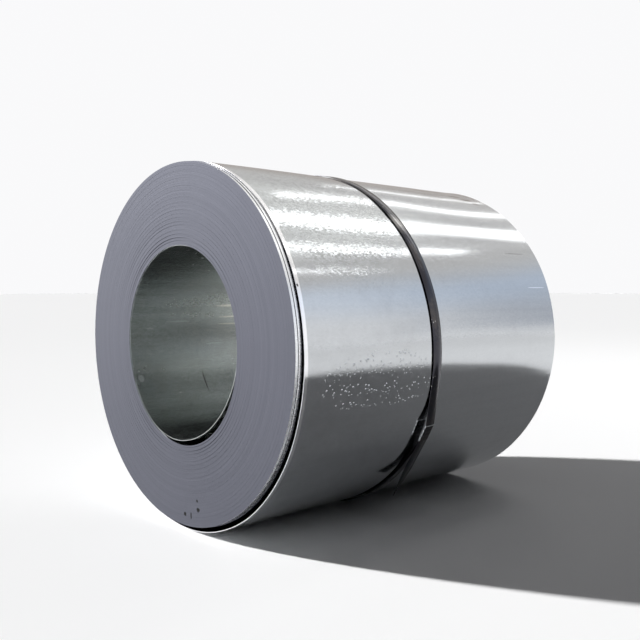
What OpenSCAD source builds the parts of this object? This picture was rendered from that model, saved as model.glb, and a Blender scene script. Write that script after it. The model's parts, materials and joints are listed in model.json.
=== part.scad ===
// Galvanised steel coil, lying on its side, held by one steel strap with a crimped seal.
// Millimetres. The coil's axis runs along Y, the near end faces -Y, and Z = 0 is the floor.

/* [Strip] */
// Width of the rolled strip, which is the length of every turn along the axis
strip_width = 1000; // [600:10:1600]
// Thickness of the strip
strip_gauge = 1; // [0.5:0.1:2]
// Diameter of the eye, the bore that takes the mandrel
bore_d = 508; // [400:1:762]
// Turns from the eye to the rim of the near end
wound_turns = 213; // [120:1:320]

/* [Wound ends] */
// Turns that lie level with each other in a band of an end, on average
band_turns = 5; // [3:1:12]
// Most that a band is set back from the near end
band_depth = 0.8; // [0.4:0.1:4]
// Extra set-back of the bands beside the eye, as a multiple of band_depth
eye_unevenness = 2.4; // [0:0.1:3]
// Pattern of the bands
band_seed = 7; // [1:1:50]
// Set-back of each tight turn outside the rim from the turn inside it
rim_step = 8; // [3:0.5:14]
// Number of those tight turns
rim_turns = 2; // [1:1:4]

/* [Eye turns] */
// Turns that line the eye
eye_turns = 2; // [1:1:4]
// Set-back of the eye turns at the near end
eye_setback = 3; // [0.5:0.5:30]
// Widest gap between the eye turns and the wound body
eye_gap = 6; // [2:0.5:10]
// Direction of that gap as seen from the near end, from +X towards +Z
eye_gap_angle = -56; // [-90:1:90]
// Angle that the gap covers on each side of its widest place
eye_gap_spread = 48; // [30:1:70]

/* [Loose wrap] */
// Turns in the loose outer wrap
wrap_turns = 2; // [1:1:4]
// Set-back of the loose wrap at the near end
wrap_setback = 18; // [10:0.5:40]
// How far the loose wrap hangs below the coil's own centre
wrap_drop = 7; // [3:0.5:15]
// Gap under which the wrap counts as tight on the body
tight_gap = 1.5; // [1:0.1:2.5]
// Direction of the strip's free edge, from +X over the top
free_edge_angle = 118; // [100:1:150]

/* [Strap] */
// Width of the strap
strap_w = 32; // [19:1:50]
// Thickness of the strap
strap_t = 1; // [0.6:0.1:1.6]
// Distance of the strap from the near end, at the height of the axis
strap_from_end = 462; // [200:1:560]
// Lean of the strap's plane off square
strap_lean = 2; // [0:0.25:3]
// Clearance between the strap's nearer edge and the coil
strap_clearance = 0.2; // [0.1:0.05:0.5]
// Where the strap lifts off the coil on its way to the seal
lift_angle = -11; // [-20:1:-5]

/* [Seal and tail] */
// Length of the seal
seal_length = 48; // [30:1:60]
// Sheet thickness of the seal
seal_t = 1; // [0.6:0.1:1.6]
// Clearance between the seal and the two strap layers
seal_clearance = 0.2; // [0.1:0.05:0.5]
// Distance from the lift-off to the seal's upper mouth
seal_reach = 111; // [100:1:130]
// Turn of the strap towards the coil at that mouth
seal_bend = 18.5; // [12:0.5:20]
// Crimps pressed across the seal
seal_crimps = 3; // [1:1:5]
// Length of the free tail
tail_length = 190; // [60:5:220]
// Turn of the tail towards the coil where it leaves the seal
tail_bend = 3; // [0:0.5:6]

/* [Hidden] */
$fn = 180;

eye_r = bore_d / 2;
eye_outer_r = eye_r + eye_turns * strip_gauge;
rim_r = eye_r + wound_turns * strip_gauge;
body_r = rim_r + rim_turns * strip_gauge;

// The wrap bites half a gauge into the body at the top, so that the two are one strip there
wrap_bite = strip_gauge / 2;
wrap_inner_r = body_r + wrap_drop - wrap_bite;
wrap_outer_r = wrap_inner_r + wrap_turns * strip_gauge;
// Height over the axis below which the wrap stands clear of the body by tight_gap or more
tight_z = body_r * (wrap_inner_r - body_r - tight_gap) / wrap_drop;

// The strip's last end rises by one gauge over this arc, as it rides up on the turn below it
lap_arc = 70;
lap_start = free_edge_angle - lap_arc;
lap_shift = strip_gauge / (1 - cos(lap_arc));
// The rise is drawn from here on, where it first measures a tenth of a gauge
lap_drawn_from = lap_start + acos(1 - (1 - cos(lap_arc)) / 10);

// A leaning strap touches the coil with one edge at the top and the other at the bottom
strap_gap = strap_clearance + strap_w / 2 * sin(strap_lean)
    + (wrap_outer_r + wrap_drop) * (1 - cos(strap_lean));
strap_inner_r = wrap_outer_r + strap_gap;
strap_outer_r = strap_inner_r + strap_t;

// Overall length, and the height of the coil's axis above the floor that the strap touches
length = strip_width + wrap_setback;
axis_z = (strap_outer_r + wrap_drop) * cos(strap_lean) + strap_w / 2 * sin(strap_lean);

function unit(a) = [cos(a), sin(a)];
function turned_right(d) = [d.y, -d.x];
function turned_left(d) = [-d.y, d.x];
function reversed(list) = [for (i = [len(list) - 1:-1:0]) list[i]];

// Outline of a strip of thickness t that follows a path of straight stretches, on its left side
function strip_outline(path, t) =
    let (
        last = len(path) - 1,
        along = [for (i = [0:last - 1]) (path[i + 1] - path[i]) / norm(path[i + 1] - path[i])],
        left = [for (d = along) turned_left(d)],
        outer = [
            for (i = [0:last])
                let (a = left[max(i - 1, 0)], b = left[min(i, last - 1)])
                path[i] + t * (a + b) / (1 + a * b)
        ]
    )
    concat(path, reversed(outer));

// Bands of an end, each [inner radius, outer radius, set-back]. Every second one lies level with
// the near end, and the ones between are set back by chance, with borders that shift by chance too
body_turns = wound_turns - eye_turns;
band_count = floor(body_turns / band_turns);
border_chance = rands(-0.35, 0.35, band_count + 1, band_seed);
depth_chance = rands(0.2, 1, band_count, band_seed + 1);
function border_shift(i) = i == 0 || i == band_count ? 0 : border_chance[i];
function band_radius(i) =
    eye_outer_r + body_turns * strip_gauge * (i + border_shift(i)) / band_count;
function band_setback(i) =
    i % 2 == 0 ? 0 : band_depth * depth_chance[i] * (1 + eye_unevenness * exp(-i / 4));
bands = [for (i = [0:band_count - 1]) [band_radius(i), band_radius(i + 1), band_setback(i)]];

// Steps of the tight turns outside the rim, in the same form
rims = [
    for (i = [1:rim_turns])
        [rim_r + (i - 1) * strip_gauge, rim_r + i * strip_gauge, i * rim_step]
];

// Draws a flat outline in the XZ plane, thickened from y = from towards +Y
module across(from, thickness)
    translate([0, from + thickness, 0]) rotate([90, 0, 0]) linear_extrude(thickness) children();

// Moves from the coil's own frame, with its axis on Y and its near end at y = 0, to the floor
module on_floor() translate([0, -length / 2, axis_z]) children();

// A pie slice between two angles less than 180 degrees apart
module slice(from, to) {
    reach = 2 * wrap_outer_r;
    middle = (from + to) / 2;
    polygon([[0, 0], reach * unit(from), reach * unit(middle) / cos((to - from) / 2), reach * unit(to)]);
}

// Outside of the loose wrap with the rise of the strip's free end, grown all round
module wrap_outline(grow = 0)
    translate([0, -wrap_drop]) {
        circle(wrap_outer_r + grow);
        // The strap bends over the free edge a little after the strip ends
        past_edge = 4 * grow / wrap_outer_r * 180 / PI;
        intersection() {
            translate(-lap_shift * unit(lap_start)) circle(wrap_outer_r + lap_shift + grow);
            slice(lap_drawn_from, free_edge_angle + past_edge);
        }
    }

// Inside of the loose wrap
module wrap_bore() translate([0, -wrap_drop]) circle(wrap_inner_r);

// All the tight turns, as one turned solid whose two ends show the same bands
module wound_body() {
    lays = concat(bands, rims);
    near = [for (b = lays, r = [b[0], b[1]]) [r, b[2]]];
    far = [for (p = reversed(near)) [p.x, p.y + strip_width]];
    rotate([-90, 0, 0]) rotate_extrude() polygon(concat(near, far));
}

// Gap behind the eye turns, a crescent between the eye and a smaller circle shifted outwards
module eye_gap_outline() {
    widest = eye_outer_r + eye_gap;
    shift = (widest * widest - eye_outer_r * eye_outer_r)
        / (2 * (widest - eye_outer_r * cos(eye_gap_spread)));
    translate(shift * unit(eye_gap_angle)) circle(widest - shift);
}

module eye_lining()
    across(eye_setback, strip_width)
        difference() {
            circle(eye_outer_r);
            circle(eye_r);
        }

module loose_wrap()
    across(wrap_setback, strip_width)
        difference() {
            wrap_outline();
            wrap_bore();
        }

// The upper turns of the wrap's lay, which are tight on the body
module tight_turns() {
    deepest_rim = rim_turns * rim_step;
    from = max(wrap_setback, deepest_rim);
    across(from, strip_width + min(wrap_setback, deepest_rim) - from)
        difference() {
            intersection() {
                wrap_bore();
                translate([-wrap_outer_r, tight_z]) square([2 * wrap_outer_r, wrap_outer_r]);
            }
            circle(body_r - strip_gauge / 2);
        }
}

module coil()
    color("silver")
        on_floor() {
            difference() {
                wound_body();
                across(-1, length + 2) eye_gap_outline();
            }
            eye_lining();
            loose_wrap();
            tight_turns();
        }

// The strap's route on its inner side, in the frame of the loose wrap's own centre
lift_point = strap_inner_r * unit(lift_angle);
lift_heading = lift_angle - 90;
seal_entry = lift_point + seal_reach * unit(lift_heading);
seal_heading = lift_heading - seal_bend;
seal_exit = seal_entry + seal_length * unit(seal_heading);
tail_end = seal_exit + tail_length * unit(seal_heading - tail_bend);

// The other end comes up from below, turns at the seal and stops inside it, under the first end
seal_angle = seal_heading + 90;
under_exit = seal_exit - (strap_t + seal_clearance) * unit(seal_angle);
under_end = under_exit - seal_length * 7 / 8 * unit(seal_heading);
landing_angle = atan2(under_exit.y, under_exit.x) - acos(strap_inner_r / norm(under_exit));
landing_point = strap_inner_r * unit(landing_angle);
// The ring runs into the straight stretches by this angle, so that all are one strap
ring_overrun = 0.2;

// Moves the strap and its seal to their place, with the strap's centre plane on y = 0
module strap_place()
    on_floor() translate([0, strap_from_end, 0]) rotate([strap_lean, 0, 0]) children();

module strap_ring_outline()
    difference() {
        wrap_outline(strap_gap + strap_t);
        wrap_outline(strap_gap);
        translate([0, -wrap_drop]) slice(landing_angle + ring_overrun, lift_angle - ring_overrun);
    }

// A straight-sided stretch of the strap along a route
module strap_stretch(route)
    across(-strap_w / 2, strap_w) translate([0, -wrap_drop]) polygon(strip_outline(route, strap_t));

module strap()
    color("dimgray")
        strap_place() {
            across(-strap_w / 2, strap_w) strap_ring_outline();
            strap_stretch([lift_point, seal_entry, seal_exit, tail_end]);
            strap_stretch([under_end, under_exit, landing_point]);
        }

// Section of the seal across the strap, with the strap's width along X and outwards along Y
module seal_section(grow = 0) {
    inner_w = strap_w + 2 * seal_clearance;
    inner_h = 2 * strap_t + 3 * seal_clearance;
    translate([-inner_w / 2 - grow, -strap_t - 2 * seal_clearance - grow])
        square([inner_w + 2 * grow, inner_h + 2 * grow]);
}

// The sleeve, drawn along Z from its lower mouth upwards
module seal_sleeve() {
    crimp_r = 4 * seal_t;
    crimp_depth = seal_t * 0.4;
    crimp_pitch = seal_length / (seal_crimps + 1);
    face = strap_t + seal_clearance + seal_t;
    difference() {
        linear_extrude(seal_length)
            difference() {
                seal_section(seal_t);
                seal_section();
            }
        for (i = [1:seal_crimps])
            translate([0, face + crimp_r - crimp_depth, i * crimp_pitch])
                rotate([0, 90, 0]) cylinder(r = crimp_r, h = 2 * strap_w, center = true);
    }
}

module seal()
    color("slategray")
        strap_place()
            translate([seal_exit.x, 0, seal_exit.y - wrap_drop])
                rotate([0, -seal_angle, 0]) rotate([0, 0, -90]) seal_sleeve();

coil();
strap();
seal();
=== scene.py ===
"""Looks of a strapped coil of galvanised steel strip that lies on its side.

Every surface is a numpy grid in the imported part's own frame, in metres: the coil's axis runs along Y,
the near end faces -Y and the floor is z = 0.
"""

import json
import logging
import math
from dataclasses import dataclass, field
from enum import Enum

import bpy
import numpy as np
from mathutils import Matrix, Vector

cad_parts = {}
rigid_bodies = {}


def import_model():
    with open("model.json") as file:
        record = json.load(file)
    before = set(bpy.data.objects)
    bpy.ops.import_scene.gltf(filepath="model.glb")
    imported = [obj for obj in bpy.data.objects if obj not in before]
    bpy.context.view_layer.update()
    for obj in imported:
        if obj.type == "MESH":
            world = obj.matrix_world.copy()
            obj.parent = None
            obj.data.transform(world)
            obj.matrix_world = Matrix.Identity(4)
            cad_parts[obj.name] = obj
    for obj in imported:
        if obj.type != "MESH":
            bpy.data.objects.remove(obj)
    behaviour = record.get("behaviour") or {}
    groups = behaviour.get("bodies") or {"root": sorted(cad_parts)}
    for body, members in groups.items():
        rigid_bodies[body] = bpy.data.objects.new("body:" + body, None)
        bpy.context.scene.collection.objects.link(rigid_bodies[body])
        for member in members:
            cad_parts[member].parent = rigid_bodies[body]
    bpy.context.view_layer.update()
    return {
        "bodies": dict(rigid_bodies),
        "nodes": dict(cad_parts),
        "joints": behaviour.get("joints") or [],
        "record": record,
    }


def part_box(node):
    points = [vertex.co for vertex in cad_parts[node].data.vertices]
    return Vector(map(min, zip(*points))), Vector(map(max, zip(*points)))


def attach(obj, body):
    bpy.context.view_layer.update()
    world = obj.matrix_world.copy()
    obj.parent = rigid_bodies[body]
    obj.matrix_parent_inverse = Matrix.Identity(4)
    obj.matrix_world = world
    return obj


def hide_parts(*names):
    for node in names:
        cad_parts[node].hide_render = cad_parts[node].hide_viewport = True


LOG = logging.getLogger("coil")
SEAM = 1e-4  # Half the slit at a free edge of the strip, in radians


class Slot(Enum):
    """The record's material slots."""

    ZINC = "zinc"
    STRAP = "strap_steel"
    SEAL = "seal_steel"


# Numbers and grids


def smoothstep(x: np.ndarray | float, low: float, high: float) -> np.ndarray:
    """Rises from 0 at low to 1 at high with level ends: t * t * (3 - 2t) of the clipped share t.

    Args:
        x: Values to place between the two limits.
        low: Value that gives 0.
        high: Value that gives 1.

    Returns:
        The smoothed shares.
    """
    t = np.clip((np.asarray(x, float) - low) / (high - low), 0.0, 1.0)
    return t * t * (3.0 - 2.0 * t)


def angle_between(a: np.ndarray, b: float) -> np.ndarray:
    """Signed angle from b to a in radians, brought between minus pi and pi.

    Args:
        a: Angles.
        b: Angle to measure from.

    Returns:
        The differences.
    """
    return (a - b + np.pi) % (2.0 * np.pi) - np.pi


def blur(values: np.ndarray, sigma: float) -> np.ndarray:
    """Rounds a route's corners: each point becomes the bell-weighted mean of its neighbours.

    Args:
        values: Points in order, one in a row.
        sigma: Half-width of the bell, in points.

    Returns:
        The rounded points, with both ends kept.
    """
    reach = int(math.ceil(3 * sigma))
    bell = np.exp(-0.5 * (np.arange(-reach, reach + 1) / sigma) ** 2)
    bell /= bell.sum()
    head = 2 * values[0] - values[reach:0:-1]
    tail = 2 * values[-1] - values[-2 : -reach - 2 : -1]
    padded = np.concatenate([head, values, tail])
    return np.stack([np.convolve(padded[:, k], bell, "valid") for k in range(values.shape[1])], 1)


def grid_quads(rows: int, cols: int, close_rows: bool, close_cols: bool) -> np.ndarray:
    """Corner numbers of the quads of a grid whose points are numbered row by row.

    Args:
        rows: Points along the first parameter.
        cols: Points along the second parameter.
        close_rows: Join the last row to the first.
        close_cols: Join the last column to the first.

    Returns:
        An array of four corners a quad, in order over the rows and then the columns.
    """
    i, j = np.meshgrid(
        np.arange(rows if close_rows else rows - 1),
        np.arange(cols if close_cols else cols - 1),
        indexing="ij",
    )
    i2, j2 = (i + 1) % rows, (j + 1) % cols
    return np.stack([i * cols + j, i2 * cols + j, i2 * cols + j2, i * cols + j2], -1).reshape(-1, 4)


@dataclass
class Surface:
    """A mesh in the making: points, quads, each quad's material number, end caps and the share of wear and
    painted sheen at each point.
    """

    points: np.ndarray
    quads: np.ndarray
    finish: np.ndarray | None = None
    caps: list[list[int]] = field(default_factory=list)
    wear: np.ndarray | None = None

    def outward(self) -> "Surface":
        """Turns all faces round if the enclosed volume, the sum of the faces' signed wedges, is negative.

        Returns:
            The surface itself.
        """
        a, b, c, d = (self.points[self.quads[:, k]] for k in range(4))
        wedges = np.einsum("ij,ij->i", a, np.cross(b, c)) + np.einsum("ij,ij->i", a, np.cross(c, d))
        if wedges.sum() < 0:
            self.quads = self.quads[:, ::-1]
            self.caps = [cap[::-1] for cap in self.caps]
        return self

    def to_object(
        self, name: str, materials: list[bpy.types.Material], sharp_deg: float = 35.0
    ) -> bpy.types.Object:
        """Makes the Blender object, at the origin, with smooth faces and sharp creases.

        Args:
            name: Name of the piece.
            materials: Its finishes, in the order of the quads' material numbers.
            sharp_deg: Crease angle above which an edge stays sharp.

        Returns:
            The new object.
        """
        mesh = bpy.data.meshes.new(name)
        mesh.from_pydata(self.points.tolist(), [], self.quads.tolist() + self.caps)
        for material in materials:
            mesh.materials.append(material)
        count = len(mesh.polygons)
        mesh.polygons.foreach_set("use_smooth", np.ones(count, bool))
        if self.finish is not None:
            numbers = np.zeros(count, np.int32)
            numbers[: len(self.finish)] = self.finish
            mesh.polygons.foreach_set("material_index", numbers)
        if self.wear is not None:
            wear = mesh.attributes.new("wear", "FLOAT", "POINT")
            wear.data.foreach_set("value", self.wear.astype(np.float32))
        mesh.set_sharp_from_angle(angle=math.radians(sharp_deg))
        mesh.update()
        obj = bpy.data.objects.new(name, mesh)
        bpy.context.scene.collection.objects.link(obj)
        return obj


def place(obj: bpy.types.Object, slot: Slot, *nodes: str) -> bpy.types.Object:
    """Lets a piece ride on the part, hides the nodes that it stands for, and reports its triangles and slot.

    Args:
        obj: The piece.
        slot: The record's material slot.
        *nodes: CAD nodes that the piece replaces.

    Returns:
        The piece.
    """
    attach(obj, "root")
    if nodes:
        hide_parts(*nodes)
    triangles = sum(len(p.vertices) - 2 for p in obj.data.polygons)
    LOG.info("%s: %d triangles, slot %s", obj.name, triangles, slot.value)
    return obj


# Node trees


class Tree:
    """Short ways to add nodes to one tree."""

    def __init__(self, tree: bpy.types.NodeTree) -> None:
        """Keeps the tree that nodes are added to."""
        self.tree = tree

    def node(self, kind: str, inputs: dict | None = None, **settings: object) -> bpy.types.Node:
        """Adds a node.

        Args:
            kind: Blender's name of the node type.
            inputs: Values or sockets for its inputs, by name or number.
            **settings: Its own settings.

        Returns:
            The node.
        """
        made = self.tree.nodes.new(kind)
        for key, value in settings.items():
            setattr(made, key, value)
        for key, value in (inputs or {}).items():
            self.feed(made.inputs[key], value)
        return made

    def feed(self, target: bpy.types.NodeSocket, value: object) -> None:
        """Links a socket to an input, or sets the input's value."""
        if isinstance(value, bpy.types.NodeSocket):
            self.tree.links.new(value, target)
        else:
            target.default_value = value

    def math(self, how: str, *values: object, clamp: bool = False) -> bpy.types.NodeSocket:
        """Adds a Math node and gives its result.

        Args:
            how: The operation.
            *values: Numbers or sockets.
            clamp: Keep the result between 0 and 1.

        Returns:
            The result's socket.
        """
        made = self.node("ShaderNodeMath", dict(enumerate(values)), operation=how)
        made.use_clamp = clamp
        return made.outputs[0]

    def vector(self, how: str, *values: object, out: str = "Vector") -> bpy.types.NodeSocket:
        """Adds a Vector Math node and gives one of its results.

        Args:
            how: The operation.
            *values: Vectors or sockets.
            out: Name of the result.

        Returns:
            The result's socket.
        """
        return self.node("ShaderNodeVectorMath", dict(enumerate(values)), operation=how).outputs[out]

    def mix(self, share: object, a: object, b: object) -> bpy.types.NodeSocket:
        """Mixes two colours.

        Args:
            share: Share of b.
            a: First colour.
            b: Second colour.

        Returns:
            The mixed colour's socket.
        """
        made = self.node("ShaderNodeMix", data_type="RGBA")
        self.feed(made.inputs[0], share)
        self.feed(made.inputs[6], a)
        self.feed(made.inputs[7], b)
        return made.outputs[2]

    def span(
        self, value: object, low: float, high: float, to_low: float = 0.0, to_high: float = 1.0
    ) -> bpy.types.NodeSocket:
        """Carries a value from one range to another, clamped and with smooth ends.

        Args:
            value: The value.
            low: Start of its range.
            high: End of its range.
            to_low: What low becomes.
            to_high: What high becomes.

        Returns:
            The result's socket.
        """
        return self.node(
            "ShaderNodeMapRange",
            {"Value": value, 1: low, 2: high, 3: to_low, 4: to_high},
            interpolation_type="SMOOTHSTEP",
        ).outputs[0]

    def noise(
        self, vector: object, scale: object, detail: float = 3.0, rough: float = 0.5
    ) -> bpy.types.NodeSocket:
        """Adds a noise texture.

        Args:
            vector: Where it is read.
            scale: Its scale.
            detail: Octaves.
            rough: Share of the finer octaves.

        Returns:
            Its value's socket.
        """
        return self.node(
            "ShaderNodeTexNoise",
            {"Vector": vector, "Scale": scale, "Detail": detail, "Roughness": rough},
        ).outputs[0]


def new_group(
    name: str, inputs: dict[str, tuple[str, object]], outputs: dict[str, str]
) -> tuple[Tree, dict, dict]:
    """Makes an empty shader group.

    Args:
        name: The group's name.
        inputs: Socket kind (Float, Vector or Color) and default by input name.
        outputs: Socket kind by output name.

    Returns:
        The tree, its input sockets by name, and its output sockets by name.
    """
    tree = bpy.data.node_groups.new(name, "ShaderNodeTree")
    for key, (kind, default) in inputs.items():
        socket = tree.interface.new_socket(key, in_out="INPUT", socket_type=f"NodeSocket{kind}")
        if default is not None:
            socket.default_value = default
    for key, kind in outputs.items():
        tree.interface.new_socket(key, in_out="OUTPUT", socket_type=f"NodeSocket{kind}")
    given = tree.nodes.new("NodeGroupInput")
    taken = tree.nodes.new("NodeGroupOutput")
    ins = {s.name: s for s in given.outputs if s.name}
    outs = {s.name: s for s in taken.inputs if s.name}
    return Tree(tree), ins, outs


@dataclass
class Effects:
    """Shader groups that several finishes share."""

    spangle: bpy.types.NodeTree
    turns: bpy.types.NodeTree
    grime: bpy.types.NodeTree
    nicks: bpy.types.NodeTree
    beads: bpy.types.NodeTree
    mark: bpy.types.NodeTree

    @classmethod
    def make(cls) -> "Effects":
        """Builds every group once.

        Returns:
            The groups.
        """
        return cls(
            spangle=cls.make_spangle(),
            turns=cls.make_turns(),
            grime=cls.make_grime(),
            nicks=cls.make_nicks(),
            beads=cls.make_beads(),
            mark=cls.make_mark(),
        )

    @staticmethod
    def make_spangle() -> bpy.types.NodeTree:
        """Zinc crystals: cells that each lean their own way, so the height is a plane tilted by chance.

        Returns:
            The group, with Tone and Height that change from crystal to crystal.
        """
        t, i, o = new_group(
            "zinc_spangle",
            {"Vector": ("Vector", None), "Scale": ("Float", 90.0), "Tilt": ("Float", 0.08)},
            {"Tone": "Float", "Height": "Float"},
        )
        finer = t.math("MULTIPLY", i["Scale"], 1.7)
        ragged = t.node("ShaderNodeTexNoise", {"Vector": i["Vector"], "Scale": finer})
        shift = t.vector("SCALE", t.vector("SUBTRACT", ragged.outputs["Color"], (0.5, 0.5, 0.5)))
        t.feed(shift.node.inputs["Scale"], t.math("DIVIDE", 0.55, i["Scale"]))
        where = t.vector("ADD", i["Vector"], shift)
        cell = t.node("ShaderNodeTexVoronoi", {"Vector": where, "Scale": i["Scale"]})
        lean = t.vector("SUBTRACT", cell.outputs["Color"], (0.5, 0.5, 0.5))
        offset = t.vector("SUBTRACT", where, cell.outputs["Position"])
        rise = t.vector("DOT_PRODUCT", offset, lean, out="Value")
        t.feed(o["Height"], t.math("MULTIPLY", rise, i["Tilt"]))
        t.feed(o["Tone"], t.node("ShaderNodeSeparateColor", {0: cell.outputs["Color"]}).outputs[2])
        return t.tree

    @staticmethod
    def make_turns() -> bpy.types.NodeTree:
        """Edges of the wound turns: noise along the distance from the coil's axis, so it runs in rings.

        Returns:
            The group, with Lines for single turns, Bands for groups of turns, and Height.
        """
        t, i, o = new_group(
            "wound_turns",
            {"Vector": ("Vector", None), "Axis": ("Vector", None), "Gauge": ("Float", 0.001)},
            {"Lines": "Float", "Bands": "Float", "Height": "Float"},
        )
        flat = t.vector("MULTIPLY", t.vector("SUBTRACT", i["Vector"], i["Axis"]), (1.0, 0.0, 1.0))
        drift = t.math("MULTIPLY", t.noise(i["Vector"], 3.0, 2.0), 0.004)
        radius = t.math("ADD", t.vector("LENGTH", flat, out="Value"), drift)
        count = t.math("DIVIDE", radius, i["Gauge"])
        fine, broad = (
            t.node("ShaderNodeTexNoise", {"W": count, **ring}, noise_dimensions="1D").outputs[0]
            for ring in ({"Scale": 0.9, "Detail": 2.0}, {"Scale": 0.07, "Detail": 4.0})
        )
        t.feed(o["Lines"], fine)
        t.feed(o["Bands"], broad)
        t.feed(o["Height"], t.math("MULTIPLY", fine, 0.0004))
        return t.tree

    @staticmethod
    def make_grime() -> bpy.types.NodeTree:
        """Handling stains: large cloudy patches broken up by a finer cloud.

        Returns:
            The group, with a Mask from clean to stained.
        """
        t, i, o = new_group(
            "handling_grime",
            {"Vector": ("Vector", None), "Scale": ("Float", 4.0), "Amount": ("Float", 0.5)},
            {"Mask": "Float"},
        )
        cloud = t.noise(i["Vector"], i["Scale"], 5.0, 0.6)
        fine = t.noise(i["Vector"], t.math("MULTIPLY", i["Scale"], 9.0), 4.0, 0.6)
        both = t.math("ADD", cloud, t.math("MULTIPLY", t.math("SUBTRACT", fine, 0.5), 0.45))
        t.feed(o["Mask"], t.math("MULTIPLY", t.span(both, 0.42, 0.72), i["Amount"]))
        return t.tree

    @staticmethod
    def make_nicks() -> bpy.types.NodeTree:
        """Small bright dings: the cores of a few cells, picked by chance.

        Returns:
            The group, with a Mask of the dings.
        """
        t, i, o = new_group(
            "bright_nicks",
            {
                "Vector": ("Vector", None),
                "Scale": ("Float", 120.0),
                "Share": ("Float", 0.1),
                "Core": ("Float", 0.25),
            },
            {"Mask": "Float"},
        )
        cell = t.node("ShaderNodeTexVoronoi", {"Vector": i["Vector"], "Scale": i["Scale"]})
        chance = t.node("ShaderNodeSeparateColor", {0: cell.outputs["Color"]}).outputs[0]
        picked = t.math("LESS_THAN", chance, i["Share"])
        core = t.math("LESS_THAN", cell.outputs["Distance"], i["Core"])
        t.feed(o["Mask"], t.math("MULTIPLY", picked, core))
        return t.tree

    @staticmethod
    def make_beads() -> bpy.types.NodeTree:
        """Dried droplets: a low dome in the middle of some cells, one minus the squared distance.

        Returns:
            The group, with the domes' Height.
        """
        t, i, o = new_group(
            "dried_beads",
            {
                "Vector": ("Vector", None),
                "Scale": ("Float", 135.0),
                "Share": ("Float", 0.5),
                "Rise": ("Float", 0.0009),
            },
            {"Height": "Float"},
        )
        cell = t.node("ShaderNodeTexVoronoi", {"Vector": i["Vector"], "Scale": i["Scale"]})
        chance = t.node("ShaderNodeSeparateColor", {0: cell.outputs["Color"]}).outputs[0]
        size = t.math("ADD", 0.22, t.math("MULTIPLY", chance, 0.35))
        near = t.math("DIVIDE", cell.outputs["Distance"], size)
        dome = t.math("SUBTRACT", 1.0, t.math("MULTIPLY", near, near), clamp=True)
        picked = t.math("MULTIPLY", dome, t.math("LESS_THAN", chance, i["Share"]))
        t.feed(o["Height"], t.math("MULTIPLY", picked, i["Rise"]))
        return t.tree

    @staticmethod
    def make_mark() -> bpy.types.NodeTree:
        """One stain or scratch: an ellipsoid round a place, with a ragged border.

        Returns:
            The group, with a Mask of the mark.
        """
        t, i, o = new_group(
            "single_mark",
            {
                "Vector": ("Vector", None),
                "Place": ("Vector", None),
                "Reach": ("Vector", None),
                "Ragged": ("Float", 0.3),
            },
            {"Mask": "Float"},
        )
        offset = t.vector("DIVIDE", t.vector("SUBTRACT", i["Vector"], i["Place"]), i["Reach"])
        wobble = t.math("MULTIPLY", t.math("SUBTRACT", t.noise(i["Vector"], 160.0, 3.0), 0.5), i["Ragged"])
        away = t.math("ADD", t.vector("LENGTH", offset, out="Value"), wobble)
        t.feed(o["Mask"], t.span(away, 0.75, 1.05, 1.0, 0.0))
        return t.tree


Colour = tuple[float, float, float, float]


@dataclass(frozen=True)
class Patch:
    """An ellipsoid in which a finish changes: its centre, its half-sizes and how ragged its border is."""

    place: tuple[float, float, float]
    reach: tuple[float, float, float]
    ragged: float = 0.5


class Finish:
    """Base of the finishes: makes a material with one Principled shader."""

    name: str

    def begin(self) -> tuple[bpy.types.Material, Tree, bpy.types.Node]:
        """Makes the material.

        Returns:
            The material, its tree and its Principled shader.
        """
        material = bpy.data.materials.new(self.name)
        material.use_nodes = True
        tree = Tree(material.node_tree)
        shader = next(n for n in material.node_tree.nodes if n.type == "BSDF_PRINCIPLED")
        return material, tree, shader

    @staticmethod
    def use(t: Tree, group: bpy.types.NodeTree, inputs: dict) -> bpy.types.Node:
        """Places a shared group in a material.

        Args:
            t: The material's tree.
            group: The group.
            inputs: Values or sockets for its inputs.

        Returns:
            The group's node.
        """
        made = t.node("ShaderNodeGroup", node_tree=group)
        for key, value in inputs.items():
            t.feed(made.inputs[key], value)
        return made

    def patch(
        self, t: Tree, effects: Effects, here: bpy.types.NodeSocket, spot: Patch
    ) -> bpy.types.NodeSocket:
        """Mask of one patch.

        Args:
            t: The material's tree.
            effects: The shared groups.
            here: The coordinates.
            spot: The patch.

        Returns:
            The mask's socket.
        """
        inputs = {"Vector": here, "Place": spot.place, "Reach": spot.reach, "Ragged": spot.ragged}
        return self.use(t, effects.mark, inputs).outputs[0]


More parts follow.
